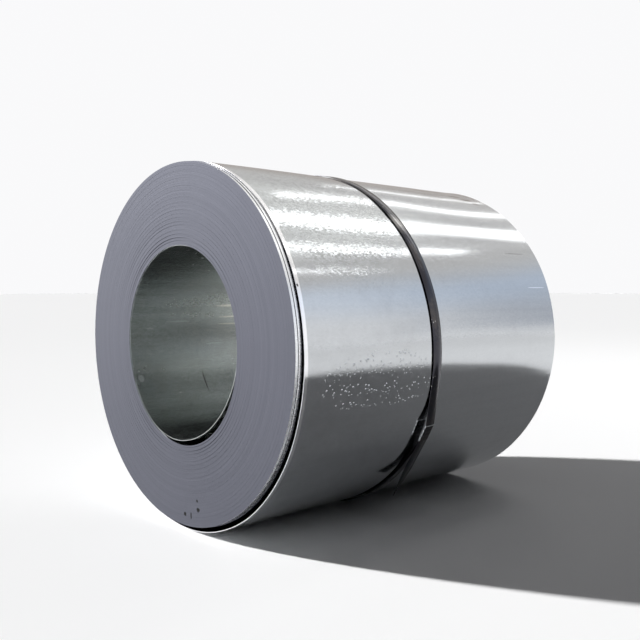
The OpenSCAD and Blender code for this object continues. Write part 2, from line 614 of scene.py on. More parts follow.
@dataclass(frozen=True)
class ZincSheet(Finish):
    """Bright galvanised sheet: leaning crystals, rolling lines, stains and single marks.

    In one patch the crystals lean more and some are dull flakes. In another the sheet has dried drops.
    """

    name: str = "galvanised_sheet"
    dark: Colour = (0.56, 0.58, 0.60, 1.0)
    light: Colour = (0.66, 0.68, 0.70, 1.0)
    stain: Colour = (0.42, 0.43, 0.44, 1.0)
    roughness: tuple[float, float] = (0.08, 0.14)
    crystal_scale: float = 300.0
    crystal_tilt: float = 0.010
    crystal_turn: float = 0.7
    crystal_squeeze: float = 0.45
    flake_tilt: float = 0.055
    flake: Colour = (0.34, 0.36, 0.34, 1.0)
    flake_share: float = 0.3
    flakes: Patch = Patch((0.30, -0.29, 0.83), (0.30, 0.26, 0.24), 0.7)
    drop_rise: float = 0.00092
    drop_scale: float = 135.0
    drop_share: float = 0.52
    drops: Patch = Patch((0.47, -0.235, 0.412), (0.12, 0.225, 0.080), 0.1)
    stain_amount: float = 0.25
    stain_scale: float = 3.2
    stain_dulls: float = 0.10
    line_scale: tuple[float, float, float] = (60.0, 1.5, 60.0)
    line_share: float = 0.7
    marks: tuple[tuple[Patch, Colour], ...] = ()

    def make(self, effects: Effects) -> bpy.types.Material:
        """Builds the material.

        Args:
            effects: The shared groups.

        Returns:
            The material.
        """
        material, t, shader = self.begin()
        here = t.node("ShaderNodeTexCoord").outputs["Object"]
        flaky = self.patch(t, effects, here, self.flakes)
        tilt = t.span(flaky, 0.0, 1.0, self.crystal_tilt, self.flake_tilt)
        slanted = t.node(
            "ShaderNodeMapping",
            {0: here, "Rotation": (0.0, 0.0, self.crystal_turn), "Scale": (1.0, self.crystal_squeeze, 1.0)},
        )
        spangle = self.use(
            t, effects.spangle, {"Vector": slanted.outputs[0], "Scale": self.crystal_scale, "Tilt": tilt}
        )
        beaded = t.math("MULTIPLY", self.patch(t, effects, here, self.drops), self.drop_rise)
        dots = self.use(
            t,
            effects.beads,
            {"Vector": here, "Scale": self.drop_scale, "Share": self.drop_share, "Rise": beaded},
        )
        grime = self.use(
            t, effects.grime, {"Vector": here, "Scale": self.stain_scale, "Amount": self.stain_amount}
        )
        lines = t.math("MULTIPLY", t.noise(t.vector("MULTIPLY", here, self.line_scale), 1.0), self.line_share)
        tone = t.math("ADD", t.math("MULTIPLY", spangle.outputs["Tone"], 1 - self.line_share), lines)
        colour = t.mix(grime.outputs[0], t.mix(tone, self.dark, self.light), self.stain)
        fleck = t.math("MULTIPLY", flaky, t.span(spangle.outputs["Tone"], 0.45, 0.75, 0.0, self.flake_share))
        colour = t.mix(fleck, colour, self.flake)
        for spot, tint in self.marks:
            colour = t.mix(self.patch(t, effects, here, spot), colour, tint)
        t.feed(shader.inputs["Base Color"], colour)
        rough = t.span(tone, 0.2, 0.8, *self.roughness)
        dulled = t.math("MULTIPLY", grime.outputs[0], self.stain_dulls)
        t.feed(shader.inputs["Roughness"], t.math("ADD", rough, dulled))
        shader.inputs["Metallic"].default_value = 1.0
        height = t.math("ADD", spangle.outputs["Height"], dots.outputs["Height"])
        bump = t.node("ShaderNodeBump", {"Strength": 1.0, "Distance": 1.0, "Height": height})
        t.feed(shader.inputs["Normal"], bump.outputs[0])
        return material


@dataclass(frozen=True)
class WoundEdge(Finish):
    """Slit edges of the wound turns: dull grey, in rings, with a few dark dings."""

    name: str = "wound_edge"
    dark: Colour = (0.093, 0.096, 0.116, 1.0)
    light: Colour = (0.106, 0.109, 0.131, 1.0)
    ding: Colour = (0.02, 0.02, 0.02, 1.0)
    roughness: tuple[float, float] = (0.82, 0.70)
    axis: tuple[float, float, float] = (0.0, 0.0, 0.487)
    gauge: float = 0.001
    line_share: float = 0.35
    relief: float = 0.25
    dings: tuple[Patch, ...] = (
        Patch((0.027, -0.509, 0.050), (0.006, 0.02, 0.006), 0.9),
        Patch((0.087, -0.509, 0.073), (0.008, 0.02, 0.006), 0.9),
        Patch((0.083, -0.509, 0.095), (0.004, 0.02, 0.004), 0.9),
        Patch((0.055, -0.509, 0.051), (0.003, 0.02, 0.011), 0.9),
    )

    def make(self, effects: Effects) -> bpy.types.Material:
        """Builds the material.

        Args:
            effects: The shared groups.

        Returns:
            The material.
        """
        material, t, shader = self.begin()
        here = t.node("ShaderNodeTexCoord").outputs["Object"]
        turns = self.use(t, effects.turns, {"Vector": here, "Axis": self.axis, "Gauge": self.gauge})
        grime = self.use(t, effects.grime, {"Vector": here, "Scale": 5.0, "Amount": 0.35})
        lines = t.math("MULTIPLY", turns.outputs["Lines"], self.line_share)
        tone = t.math("ADD", lines, t.math("MULTIPLY", turns.outputs["Bands"], 1 - self.line_share))
        colour = t.mix(t.span(tone, 0.25, 0.75), self.dark, self.light)
        colour = t.mix(grime.outputs[0], colour, self.dark)
        for spot in self.dings:
            colour = t.mix(self.patch(t, effects, here, spot), colour, self.ding)
        t.feed(shader.inputs["Base Color"], colour)
        t.feed(shader.inputs["Roughness"], t.span(turns.outputs["Lines"], 0.2, 0.8, *self.roughness))
        shader.inputs["Metallic"].default_value = 1.0
        height = turns.outputs["Height"]
        bump = t.node("ShaderNodeBump", {"Strength": self.relief, "Distance": 1.0, "Height": height})
        t.feed(shader.inputs["Normal"], bump.outputs[0])
        return material


@dataclass(frozen=True)
class BlackenedSteel(Finish):
    """Blackened and waxed strap steel with brownish clouds and bright nicks, paler metal along the folds that
    is partly wear and partly painted highlight, and patches of paler metal that are painted highlights.
    """

    name: str = "strap_steel"
    dark: Colour = (0.056, 0.056, 0.067, 1.0)
    brown: Colour = (0.098, 0.090, 0.086, 1.0)
    bare_and_sheen: Colour = (0.42, 0.41, 0.40, 1.0)
    roughness: tuple[float, float] = (0.15, 0.26)
    nick_scale: float = 160.0
    nick_share: float = 0.02
    nick_core: float = 0.28
    grain_scale: float = 260.0
    grain_relief: float = 0.15
    worn_and_highlit: bool = False
    # Patches of paler metal, each with its share: painted highlights where a ceiling strip's reflection
    # crosses the strap.
    sheen_patches: tuple[tuple[Patch, float], ...] = ()

    def make(self, effects: Effects) -> bpy.types.Material:
        """Builds the material.

        Args:
            effects: The shared groups.

        Returns:
            The material.
        """
        material, t, shader = self.begin()
        here = t.node("ShaderNodeTexCoord").outputs["Object"]
        grime = self.use(t, effects.grime, {"Vector": here, "Scale": 14.0, "Amount": 0.9})
        nicks = self.use(
            t,
            effects.nicks,
            {"Vector": here, "Scale": self.nick_scale, "Share": self.nick_share, "Core": self.nick_core},
        )
        colour = t.mix(grime.outputs[0], self.dark, self.brown)
        bare_and_sheen = nicks.outputs[0]
        # Along the folds and at the upper mouth the paler metal is partly edge wear and partly painted
        # highlight.
        if self.worn_and_highlit:
            wear = t.node("ShaderNodeAttribute", attribute_name="wear").outputs["Fac"]
            bare_and_sheen = t.math("MAXIMUM", bare_and_sheen, t.span(wear, 0.3, 0.8))
        # Painted highlight: these patches add paler metal where a lamp's reflection crosses the strap.
        for spot, share in self.sheen_patches:
            painted_sheen = t.math("MULTIPLY", self.patch(t, effects, here, spot), share)
            bare_and_sheen = t.math("ADD", bare_and_sheen, painted_sheen, clamp=True)
        t.feed(shader.inputs["Base Color"], t.mix(bare_and_sheen, colour, self.bare_and_sheen))
        t.feed(shader.inputs["Roughness"], t.span(grime.outputs[0], 0.0, 1.0, *self.roughness))
        shader.inputs["Metallic"].default_value = 1.0
        grain = t.noise(here, self.grain_scale)
        bump = t.node("ShaderNodeBump", {"Strength": self.grain_relief, "Distance": 0.0006, "Height": grain})
        t.feed(shader.inputs["Normal"], bump.outputs[0])
        return material


# The object


@dataclass
class CoilPlan:
    """Sizes of the coil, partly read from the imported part, in metres and degrees."""

    axis_z: float
    eye_r: float
    near_y: float
    wrap_r: float
    wrap_z: float
    gauge: float = 0.001
    strip_width: float = 1.0
    eye_turns: int = 2
    eye_setback: float = 0.003
    eye_gap: float = 0.006
    eye_gap_angle: float = -56.0
    eye_gap_spread: float = 48.0
    rim_r: float = 0.467
    rim_turns: int = 2
    rim_step: float = 0.008
    wrap_turns: int = 2
    wrap_setback: float = 0.018
    free_edge_angle: float = 118.0
    lap_arc: float = 70.0

    @classmethod
    def from_frame(cls, frame: dict) -> "CoilPlan":
        """Reads the eye from its mount and the loose wrap from the node's box.


        Returns:
            The plan.
        """
        eye = next(m for m in frame["record"]["mounts"] if m["name"] == "eye")
        low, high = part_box("coil")
        wrap_r = (high.x - low.x) / 2
        return cls(
            axis_z=eye["pos_m"][2],
            eye_r=eye["dims"]["r_mm"] / 1000,
            near_y=low.y,
            wrap_r=wrap_r,
            wrap_z=low.z + wrap_r,
        )

    @property
    def eye_outer_r(self) -> float:
        """Outside of the turns that line the eye."""
        return self.eye_r + self.eye_turns * self.gauge

    def lap_rise(self, angles: np.ndarray) -> np.ndarray:
        """Rise of the strip's last end: one gauge at its free edge, as one minus the cosine before it.

        Args:
            angles: Angles about the wrap's centre, in radians.

        Returns:
            The rise in metres.
        """
        arc = math.radians(self.lap_arc)
        past = angle_between(angles, math.radians(self.free_edge_angle) - arc)
        inside = (past > 0) & (past <= arc + 1e-9)
        return np.where(inside, self.gauge * (1 - np.cos(past)) / (1 - math.cos(arc)), 0.0)


@dataclass
class WoundBody:
    """The tight turns, turned about the axis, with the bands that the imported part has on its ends.

    The inner turns give way behind the eye's lining over a width of give. The bands ease to the share calm
    of their depth within about lively of the eye, and to the share level of that to its left and right.
    """

    plan: CoilPlan
    segments: int = 256
    give: float = 0.045
    calm: float = 0.55
    lively: float = 0.06
    level: float = 0.10

    def bands(self, node: bpy.types.Object) -> np.ndarray:
        """Reads the steps of the near end from the node, eased away from the eye.

        Args:
            node: The coil's CAD node.

        Returns:
            Rows of radius and set-back along the near end, from the eye to the rim.
        """
        plan = self.plan
        flat = np.empty(len(node.data.vertices) * 3, np.float32)
        node.data.vertices.foreach_get("co", flat)
        at = flat.reshape(-1, 3).astype(float)
        radius = np.hypot(at[:, 0], at[:, 2] - plan.axis_z)
        depth = at[:, 1] - plan.near_y
        keep = (at[:, 0] < 0) & (at[:, 2] > plan.axis_z) & (depth < plan.rim_step * 0.75)
        keep &= (radius > plan.eye_outer_r - 1e-4) & (radius < plan.rim_r + 1e-4)
        borders, which = np.unique(np.round(radius[keep], 4), return_inverse=True)
        deepest = np.zeros(len(borders))
        np.maximum.at(deepest, which, depth[keep])
        odd = np.arange(len(borders)) % 2 == 1
        deepest *= self.calm + (1 - self.calm) * np.exp(-(borders - plan.eye_outer_r) / self.lively)
        before, after = np.where(odd, 0.0, deepest), np.where(odd, deepest, 0.0)
        steps = np.stack([np.repeat(borders, 2), np.stack([before, after], 1).ravel()], 1)
        return steps[1:-1]

    def profile(self, node: bpy.types.Object) -> tuple[np.ndarray, np.ndarray]:
        """Closed outline of the turned section, and which of its stretches show sheet instead of edges.

        Args:
            node: The coil's CAD node.

        Returns:
            Rows of radius and y, and what the stretch after each row shows: 0 edges, 1 sheet, 2 rim steps.
        """
        plan = self.plan
        near = self.bands(node)
        rims = np.arange(1, plan.rim_turns + 1)
        inner = plan.rim_r + (rims - 1) * plan.gauge
        both = np.stack([inner, inner + plan.gauge], 1).ravel()
        near = np.concatenate([near, np.stack([both, np.repeat(rims * plan.rim_step, 2)], 1)])
        far = near[::-1] + [0.0, plan.strip_width]
        outline = np.concatenate([near, far])
        after = np.roll(outline, -1, axis=0)
        run = np.where(np.isclose(outline[:, 0], after[:, 0]), np.abs(outline[:, 1] - after[:, 1]), 0.0)
        kind = np.digitize(run, [plan.rim_step * 0.5, plan.strip_width * 0.5])
        return outline + [0.0, plan.near_y], np.array([0, 2, 1])[kind]

    def gap_out(self, angles: np.ndarray) -> np.ndarray:
        """How far the turns give way behind the eye's lining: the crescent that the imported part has.

        The crescent's outside is a smaller circle shifted towards the gap, so its distance along each
        angle follows from the law of cosines.

        Args:
            angles: Angles about the axis, in radians.

        Returns:
            The gap in metres.
        """
        plan = self.plan
        inner, widest = plan.eye_outer_r, plan.eye_outer_r + plan.eye_gap
        shift = (widest**2 - inner**2) / (2 * (widest - inner * math.cos(math.radians(plan.eye_gap_spread))))
        off = angle_between(angles, math.radians(plan.eye_gap_angle))
        squared = (widest - shift) ** 2 - (shift * np.sin(off)) ** 2
        reach = shift * np.cos(off) + np.sqrt(np.maximum(squared, 0.0))
        return np.maximum(reach - inner, 0.0)

    def build(self, node: bpy.types.Object, finishes: list[bpy.types.Material]) -> bpy.types.Object:
        """Turns the outline about the axis. Beside the gap the inner turns move out and the rest less so.

        The bands are deepest above and below the eye and level off beside it, as the squared sine.

        Args:
            node: The coil's CAD node.
            finishes: Finishes of the slit edges, of the strip's own faces and of the rim steps.

        Returns:
            The piece.
        """
        plan = self.plan
        outline, kinds = self.profile(node)
        angles = np.linspace(0, 2 * np.pi, self.segments, endpoint=False)
        radius = outline[None, :, 0] + self.gap_out(angles)[:, None] * (
            1 - smoothstep(outline[None, :, 0], plan.eye_outer_r, plan.eye_outer_r + self.give)
        )
        sunk = outline[:, 1] - plan.near_y - np.where(outline[:, 1] > 0, plan.strip_width, 0.0)
        banded = np.where(sunk < plan.rim_step / 2, sunk, 0.0)
        levelled = (1 - self.level) * np.cos(angles) ** 2
        points = np.stack(
            [
                radius * np.cos(angles)[:, None],
                outline[None, :, 1] - banded[None, :] * levelled[:, None],
                plan.axis_z + radius * np.sin(angles)[:, None],
            ],
            -1,
        )
        quads = grid_quads(self.segments, len(outline), True, True)
        finish = np.tile(kinds, self.segments)
        surface = Surface(points.reshape(-1, 3), quads, finish).outward()
        return place(surface.to_object("wound_turns", finishes), Slot.ZINC, "coil")


def wound_angles(start: float, share: np.ndarray) -> np.ndarray:
    """Angles of one full turn of the strip, from just past its free edge to just before it.

    Args:
        start: Angle of the free edge, in radians.
        share: Shares of the turn, from 0 to 1.

    Returns:
        The angles in radians.
    """
    return start + SEAM + share * (2 * np.pi - 2 * SEAM)


def sheet_ring(
    angles: np.ndarray, inner: np.ndarray, outer: np.ndarray, along: np.ndarray, centre_z: float
) -> Surface:
    """A bent sheet that closes on itself: its outer face from end to end, then its inner face back.

    Args:
        angles: Angle of each row of points, in radians.
        inner: Inner radius at each angle and place along the axis.
        outer: Outer radius at each angle and place along the axis.
        along: The places along the axis.
        centre_z: Height of the axis that the sheet is bent about.

    Returns:
        The closed surface.
    """
    radius = np.concatenate([outer, inner[:, ::-1]], 1)
    y = np.concatenate([along, along[::-1]])
    points = np.stack(
        [
            radius * np.cos(angles)[:, None],
            np.broadcast_to(y, radius.shape),
            centre_z + radius * np.sin(angles)[:, None],
        ],
        -1,
    )
    quads = grid_quads(len(angles), len(y), True, True)
    return Surface(points.reshape(-1, 3), quads).outward()


@dataclass
class EyeLining:
    """The turns that line the eye, set back from the near end, with the strip's inner free edge."""

    plan: CoilPlan
    segments: int = 220
    stations: int = 40
    inner_edge_angle: float = 25.0
    bulge: float = 0.012
    bulge_spread: float = 1.3
    ripple: float = 0.0004

    def build(self, sheet: bpy.types.Material) -> bpy.types.Object:
        """Bends the sheet: it winds in by one gauge a turn, bows in beside the gap and ripples a little.

        The ripples are sines round the eye, changed slowly along it.

        Args:
            sheet: Finish of the strip's faces.

        Returns:
            The piece.
        """
        plan = self.plan
        share = np.linspace(0.0, 1.0, self.segments)
        angles = wound_angles(math.radians(self.inner_edge_angle), share)
        along = plan.near_y + plan.eye_setback + np.linspace(0.0, plan.strip_width, self.stations)
        off = np.degrees(angle_between(angles, math.radians(plan.eye_gap_angle))) / plan.eye_gap_spread
        bow = self.bulge * np.clip(1 - (off / self.bulge_spread) ** 2, 0.0, None) ** 2
        ripples = np.sin(11 * angles + 0.4) + 0.6 * np.sin(19 * angles + 2.0)
        ripples = ripples + 0.4 * np.sin(31 * angles + 5.1)
        drift = np.cos(5.0 * (along - plan.near_y))[None, :] * np.sin(7 * angles + 1.0)[:, None]
        wave = self.ripple * (2 + ripples[:, None] + 0.5 * drift)
        inside = (plan.eye_r + plan.gauge * (1 - share) - bow)[:, None] + wave * 0.5
        outside = (plan.eye_outer_r - bow)[:, None] + wave * 0.5
        surface = sheet_ring(angles, inside, outside, along, plan.axis_z)
        return place(surface.to_object("eye_lining", [sheet]), Slot.ZINC)


@dataclass
class LooseWrap:
    """The loose outer wrap, hanging low, with the strip's free edge, a waist under the strap and dents.

    Each dent is an angle in degrees, a place along the axis, its half-widths both ways and its depth.
    The scars are small dents drawn by chance between two such rows.
    """

    plan: CoilPlan
    segments: int = 330
    stations: int = 120
    wave: float = 0.0009
    waist_y: float = -0.047
    waist: float = 0.0007
    waist_spread: float = 0.05
    dents: tuple[tuple[float, float, float, float, float], ...] = (
        (72.0, 0.29, 4.0, 0.05, 0.0016),
        (77.0, 0.40, 3.0, 0.045, 0.0022),
        (69.0, 0.44, 3.0, 0.035, 0.0018),
        (80.0, 0.46, 2.0, 0.020, 0.0015),
        (79.5, -0.28, 0.9, 0.30, 0.0005),
        (83.5, -0.18, 0.7, 0.30, 0.0004),
    )
    scars: int = 16
    scar_seed: int = 5
    scar_least: tuple[float, ...] = (66.0, 0.27, 0.5, 0.006, 0.0004)
    scar_most: tuple[float, ...] = (82.0, 0.48, 1.1, 0.022, 0.0010)

    def sag(self, angles: np.ndarray, along: np.ndarray) -> np.ndarray:
        """How far the face lies inside its true circle: soft waves, the waist, the dents and the scars.

        The waves are sines round and along the coil, lifted to stay inward. The waist, the dents and
        the scars are bells.

        Args:
            angles: Angles about the wrap's centre, as a column.
            along: Places along the axis, as a row.

        Returns:
            Depths in metres.
        """
        waves = (
            np.sin(9 * angles + 4.1 * along + 0.6) * np.cos(5.3 * along + 1.1)
            + 0.7 * np.sin(14 * angles - 6.7 * along + 2.2)
            + 0.5 * np.sin(5 * angles + 9.5 * along)
        )
        depth = self.wave * (1 + waves / 2.2)
        depth = depth + self.waist * np.exp(-0.5 * ((along - self.waist_y) / self.waist_spread) ** 2)
        chance = np.random.default_rng(self.scar_seed)
        shape = (self.scars, len(self.scar_least))
        scattered = chance.uniform(self.scar_least, self.scar_most, shape)
        for degrees, y, spread, reach, deep in (*self.dents, *scattered):
            off = np.degrees(angle_between(angles, math.radians(degrees))) / spread
            depth = depth + deep * np.exp(-0.5 * (off**2 + ((along - y) / reach) ** 2))
        return depth

    def build(self, sheet: bpy.types.Material) -> bpy.types.Object:
        """Bends the sheet about its lowered centre. Its radius steps down at the strip's free edge.

        Args:
            sheet: Finish of the strip's faces.

        Returns:
            The piece.
        """
        plan = self.plan
        angles = wound_angles(math.radians(plan.free_edge_angle), np.linspace(0.0, 1.0, self.segments))
        along = plan.near_y + plan.wrap_setback + np.linspace(0.0, plan.strip_width, self.stations)
        depth = self.sag(angles[:, None], along[None, :])
        outside = plan.wrap_r + plan.lap_rise(angles)[:, None] - depth
        inside = plan.wrap_r - plan.wrap_turns * plan.gauge - depth
        surface = sheet_ring(angles, inside, outside, along, plan.wrap_z)
        return place(surface.to_object("loose_wrap", [sheet]), Slot.ZINC)


@dataclass
class StrapPlan:
    """Route of the strap in its own plane, and the place of that plane."""

    plan: CoilPlan
    width: float = 0.032
    thickness: float = 0.001
    from_end: float = 0.462
    lean: float = 2.0
    clearance: float = 0.0002
    lift_angle: float = -11.0
    seal_length: float = 0.048
    seal_reach: float = 0.111
    seal_bend: float = 18.5
    seal_clearance: float = 0.0002
    tail_length: float = 0.190
    tail_bend: float = 3.0

    @staticmethod
    def unit(degrees: float) -> np.ndarray:
        """Direction at an angle from +X towards +Z."""
        return np.array([math.cos(math.radians(degrees)), math.sin(math.radians(degrees))])

    @property
    def inner_r(self) -> float:
        """Inner radius of the strap's ring, which clears the coil at both leaning edges."""
        lean = math.radians(self.lean)
        drop = self.plan.axis_z - self.plan.wrap_z
        gap = self.clearance + self.width / 2 * math.sin(lean)
        gap += (self.plan.wrap_r + drop) * (1 - math.cos(lean))
        return self.plan.wrap_r + gap

    @property
    def lift_point(self) -> np.ndarray:
        """Where the strap leaves the coil above the seal."""
        return self.inner_r * self.unit(self.lift_angle)

    @property
    def heading(self) -> float:
        """Direction of the strap through the seal, in degrees."""
        return self.lift_angle - 90.0 - self.seal_bend

    @property
    def outward(self) -> np.ndarray:
        """Direction from the coil through the seal's front."""
        return self.unit(self.heading + 90.0)

    @property
    def seal_entry(self) -> np.ndarray:
        """The strap's inner side at the seal's upper mouth."""
        return self.lift_point + self.seal_reach * self.unit(self.lift_angle - 90.0)

    @property
    def seal_exit(self) -> np.ndarray:
        """The strap's inner side at the seal's lower mouth."""
        return self.seal_entry + self.seal_length * self.unit(self.heading)

    def to_frame(self, flat: np.ndarray, across: np.ndarray) -> np.ndarray:
        """Leans points of the strap's plane about the coil's axis and moves them to their place.

        Args:
            flat: Points x and z about the wrap's centre.
            across: Distances from the strap's centre plane.

        Returns:
            Points in the frame.
        """
        lean = math.radians(self.lean)
        z = flat[..., 1] - (self.plan.axis_z - self.plan.wrap_z)
        y = across * math.cos(lean) - z * math.sin(lean)
        up = across * math.sin(lean) + z * math.cos(lean)
        return np.stack([flat[..., 0], self.plan.near_y + self.from_end + y, self.plan.axis_z + up], -1)


@dataclass
class Strap:
    """The strap: one strip from the tip of the tail, round the coil, to the end inside the seal."""

    route: StrapPlan
    spacing: float = 0.003
    corner: float = 0.00025
    under_share: float = 7 / 8
    ring_points: int = 1400
    softness: float = 1.2
    tail_twist: float = -27.0
    twist_share: float = 0.45

    def path(self) -> np.ndarray:
        """The strap's inner side: straight stretches and the ring, at even spacing, with soft corners.

        Returns:
            Points x and z about the wrap's centre, from the tail's tip on.
        """
        r = self.route
        tip = r.seal_exit + r.tail_length * r.unit(r.heading - r.tail_bend)
        under_exit = r.seal_exit - (r.thickness + r.seal_clearance) * r.outward
        under_end = under_exit - r.seal_length * self.under_share * r.unit(r.heading)
        away = float(np.hypot(*under_exit))
        landing = math.degrees(math.atan2(under_exit[1], under_exit[0]) - math.acos(r.inner_r / away))
        ring = np.radians(np.linspace(r.lift_angle, landing + 360.0, self.ring_points))
        radius = r.inner_r + r.plan.lap_rise(ring)
        turn = radius[:, None] * np.stack([np.cos(ring), np.sin(ring)], 1)
        corners = np.concatenate([[tip, r.seal_exit, r.seal_entry], turn, [under_exit, under_end]])
        run = np.concatenate([[0.0], np.cumsum(np.linalg.norm(np.diff(corners, axis=0), axis=1))])
        even = np.linspace(0.0, run[-1], int(run[-1] / self.spacing))
        points = np.stack([np.interp(even, run, corners[:, k]) for k in range(2)], 1)
        return blur(points, self.softness)

    def build(self, steel: bpy.types.Material) -> bpy.types.Object:
        """Carries a flat section with eased corners along the path. The free tail turns about its own line.

        Args:
            steel: The strap's finish.

        Returns:
            The piece.
        """
        r = self.route
        path = self.path()
        ahead = np.gradient(path, axis=0)
        ahead /= np.linalg.norm(ahead, axis=1, keepdims=True)
        outward = np.stack([ahead[:, 1], -ahead[:, 0]], 1)
        half, thick, ease = r.width / 2, r.thickness, self.corner
        flat_half = half - ease
        wide = np.array([-flat_half, 0, flat_half, half, half, flat_half, 0, -flat_half, -half, -half])
        deep = np.array([0, 0, 0, ease, thick - ease, thick, thick, thick, thick - ease, ease])
        run = np.arange(len(path)) * self.spacing
        twisted = np.clip(1 - run / (self.twist_share * r.tail_length), 0.0, 1.0)
        twist = np.radians(self.tail_twist) * twisted
        rise = deep[None, :] * np.cos(twist)[:, None] + wide[None, :] * np.sin(twist)[:, None]
        side = wide[None, :] * np.cos(twist)[:, None] - deep[None, :] * np.sin(twist)[:, None]
        flat = path[:, None, :] + rise[..., None] * outward[:, None, :]
        points = r.to_frame(flat, side)
        rows, cols = side.shape
        quads = grid_quads(rows, cols, False, True)
        first = list(range(cols))
        last = [(rows - 1) * cols + k for k in reversed(first)]
        surface = Surface(points.reshape(-1, 3), quads, caps=[first, last]).outward()
        return place(surface.to_object("strap_band", [steel], 50.0), Slot.STRAP, "strap")


@dataclass
class Seal:
    """The crimped sleeve that holds both ends of the strap."""

    route: StrapPlan
    sheet: float = 0.001
    crimps: int = 3
    crimp_depth: float = 0.0004
    crimp_spread: float = 0.0022
    pinch: float = 0.0008
    corner: float = 0.0012
    squareness: float = 7.0
    mouth_ease: float = 0.0003
    mouth_run: float = 0.0008
    stations: int = 90
    around: int = 64

    def section(
        self, grow: np.ndarray, pinch: np.ndarray, press: np.ndarray
    ) -> tuple[np.ndarray, np.ndarray]:
        """Rounded box across the strap: a superellipse, nearly square, widened all round by a small circle.

        Args:
            grow: How far each station's loop lies outside the strap layers.
            pinch: How far the sides are pressed in at each station.
            press: How far the outer face is pressed in at each station.

        Returns:
            Distances across the strap and outwards, one row a station.
        """
        r = self.route
        half_w = (r.width / 2 + r.seal_clearance + grow - pinch)[:, None]
        half_h = (r.thickness + 1.5 * r.seal_clearance + grow)[:, None]
        mid = -r.seal_clearance / 2
        turn = np.linspace(0, 2 * np.pi, self.around, endpoint=False)[None, :] + np.pi / self.around
        bend = np.minimum(np.full_like(half_h, self.corner), half_h * 0.8)
        c, s = np.cos(turn), np.sin(turn)
        reach = (np.abs(c) ** self.squareness + np.abs(s) ** self.squareness) ** (-1 / self.squareness)
        square_c, square_s = np.clip(c * reach * 1.02, -1, 1), np.clip(s * reach * 1.02, -1, 1)
        across = (half_w - bend) * square_c + bend * c
        out = (half_h - bend) * square_s + bend * s
        out = out - press[:, None] * (out > 0) * np.clip(out / half_h, 0, 1)
        return across, out + mid

    def build(self, steel: bpy.types.Material) -> bpy.types.Object:
        """Lofts the sleeve: outer loops from mouth to mouth, then inner loops back. Crimps are bells.

        Args:
            steel: The seal's finish.

        Returns:
            The piece.
        """
        r = self.route
        run = np.linspace(0.0, r.seal_length, self.stations)
        pitch = r.seal_length / (self.crimps + 1)
        centres = np.arange(1, self.crimps + 1) * pitch
        bells = np.exp(-0.5 * ((run[:, None] - centres[None, :]) / self.crimp_spread) ** 2).sum(1)
        from_mouth = np.minimum(run, r.seal_length - run) / self.mouth_run
        easing = self.mouth_ease * (1 - np.minimum(1, from_mouth))
        outer = self.section(self.sheet - easing, self.pinch * bells, self.crimp_depth * bells)
        plain = np.zeros_like(run)
        inner = self.section(plain, plain, plain)
        across = np.concatenate([outer[0], inner[0][::-1]])
        out = np.concatenate([outer[1], inner[1][::-1]])
        up = np.concatenate([run, run[::-1]])
        flat = r.seal_exit - up[:, None, None] * r.unit(r.heading) + out[..., None] * r.outward
        points = r.to_frame(flat, across)
        quads = grid_quads(len(up), self.around, True, True)
        # The folds and the upper mouth get paler metal: partly edge wear, partly painted highlight.
        side = smoothstep(np.abs(across), r.width / 2 - 0.0006, r.width / 2 + 0.0002)
        mouth = 1 - smoothstep(r.seal_length - up, 0.0010, 0.0024)[:, None]
        wear = np.maximum(side, mouth)
        surface = Surface(points.reshape(-1, 3), quads, wear=wear.ravel()).outward()
        return place(surface.to_object("crimped_seal", [steel], 40.0), Slot.SEAL, "seal")


# The studio


@dataclass(frozen=True)
class CeilingStrip:
    """One long soft lamp overhead, parallel to the coil."""

    x: float
    width: float
    near: float
    far: float


